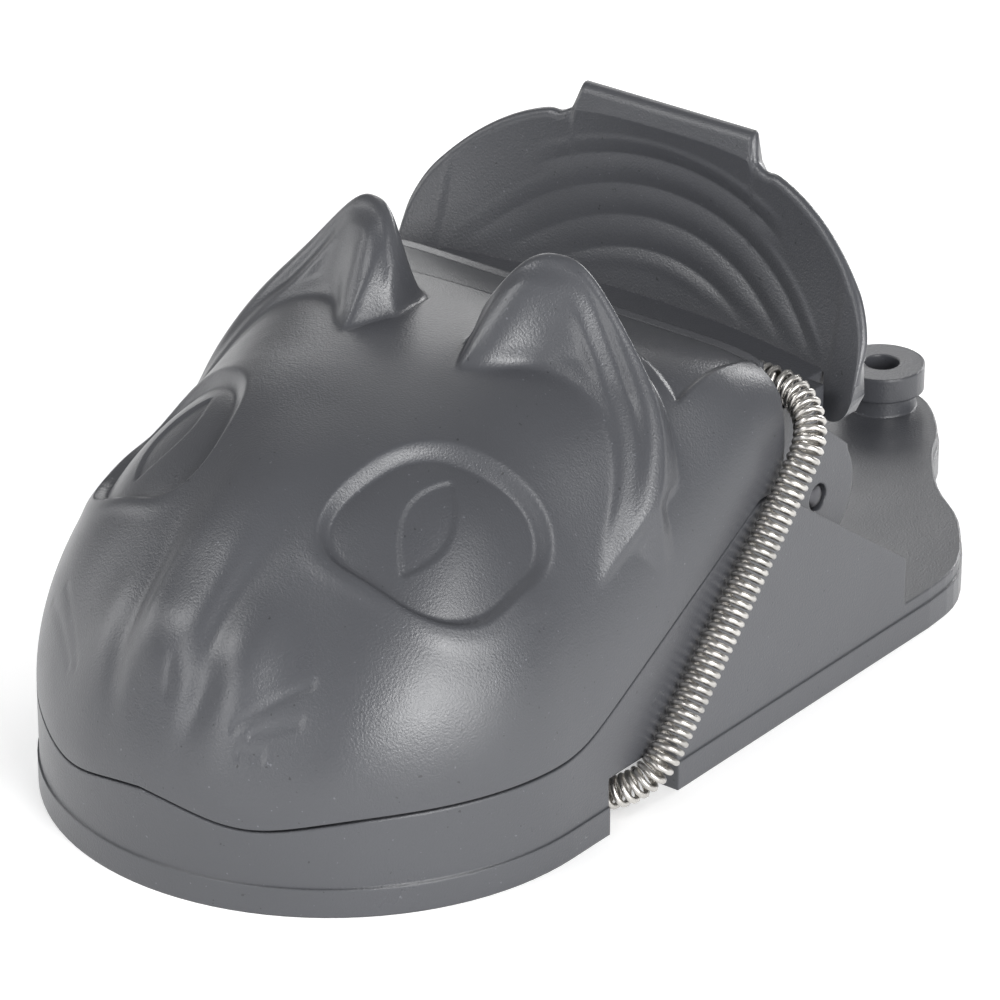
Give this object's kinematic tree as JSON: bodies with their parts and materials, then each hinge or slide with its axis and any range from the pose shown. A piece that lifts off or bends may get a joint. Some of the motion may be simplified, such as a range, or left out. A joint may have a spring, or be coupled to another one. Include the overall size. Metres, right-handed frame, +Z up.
{
  "type": "snap mouse trap",
  "caption": "Plastic snap trap shaped as a cat's head: a spring-loaded upper jaw on a low base with a tail and tether ring, a rear press lever and a bait pedal that catches the jaw open.",
  "frame": {"origin": "on the floor, at the middle of the length and width of the closed trap", "axes": "snout towards -Y, tail and tether ring towards +Y, +Z up, +X along the hinge axis to the cat's left side"},
  "size_m": [0.056, 0.1088, 0.0449],
  "materials": {
    "grey_plastic": "satin, finely grained dark grey",
    "spring_steel": "bright drawn stainless wire",
    "pin_steel": "blackened steel pin",
    "bait": "waxy brown bait paste"
  },
  "bodies": {
    "base": {"base": "grey_plastic", "hinge_pin": "pin_steel", "trigger_pin": "pin_steel", "spring_lower_run": "spring_steel"},
    "jaw": {"jaw_shell": "grey_plastic", "hinge_yoke": "grey_plastic", "press_lever": "grey_plastic", "spring_upper_run": "spring_steel"},
    "trigger": {"trigger_pedal": "grey_plastic", "bait_cup": "grey_plastic", "bait_block": "bait"},
    "spring_low": {"spring_leg_lower_right": "spring_steel", "spring_leg_lower_left": "spring_steel"},
    "spring_high": {"spring_leg_upper_right": "spring_steel", "spring_leg_upper_left": "spring_steel"}
  },
  "joints": [
    {"name": "jaw_hinge", "type": "hinge", "parent": "base", "child": "jaw", "pos_m": [0, 0.008, 0.0175], "axis": [-1, 0, 0], "range_deg": [0, 60], "stiffness_Nm_per_rad": 0.1, "springref_deg": -57.3},
    {"name": "trigger_pivot", "type": "hinge", "parent": "base", "child": "trigger", "pos_m": [0, -0.0015, 0.0084], "axis": [-1, 0, 0], "range_deg": [0, 6]},
    {"name": "spring_swing", "type": "hinge", "parent": "base", "child": "spring_low", "pos_m": [0, -0.0223, 0.0019], "axis": [-1, 0, 0], "range_deg": [0, 13.35], "deforming": ["spring_leg_lower_right", "spring_leg_lower_left"]},
    {"name": "spring_stretch", "type": "slide", "parent": "spring_low", "child": "spring_high", "axis": [0, 0.6884, 0.7253], "range_m": [0, 0.00815], "deforming": ["spring_leg_upper_right", "spring_leg_upper_left"]}
  ],
  "couplings": [
    {"joint": "spring_swing", "follows": "jaw_hinge", "ratio": 0.22178},
    {"joint": "spring_stretch", "follows": "jaw_hinge", "m_per_rad": 0.007733}
  ]
}
